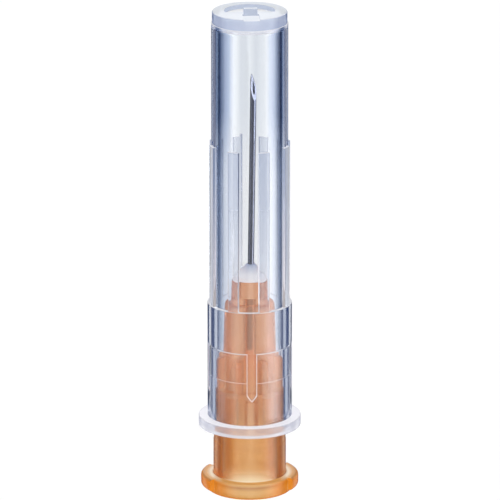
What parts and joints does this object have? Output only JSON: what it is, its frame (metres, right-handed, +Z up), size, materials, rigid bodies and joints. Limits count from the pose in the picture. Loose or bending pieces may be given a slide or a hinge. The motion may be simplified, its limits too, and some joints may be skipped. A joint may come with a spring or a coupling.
{
  "type": "hypodermic needle",
  "caption": "Fine steel injection needle bonded in a finned translucent hub with a tapered socket and lock lugs, standing on its hub under a clear ribbed push-on sheath.",
  "frame": {"origin": "centre of the hub's annular base face, on the needle's axis", "axes": "+Z up the needle's axis towards the point, +X through one of the two lock lugs"},
  "size_m": [0.0082, 0.0082, 0.0399],
  "materials": {
    "sheath_clear": "clear moulded plastic with a pale blue cast",
    "hub_orange": "translucent orange moulded plastic",
    "cannula_steel": "drawn and polished tube",
    "bond_white": "cured translucent adhesive"
  },
  "bodies": {
    "hub": {"needle_hub": "hub_orange", "cannula": "cannula_steel", "adhesive_bond": "bond_white"},
    "sheath": {"needle_sheath": "sheath_clear"}
  },
  "joints": [
    {"name": "sheath_pull", "type": "slide", "parent": "hub", "child": "sheath", "axis": [0, 0, 1], "range_m": [0, 0.03]}
  ]
}
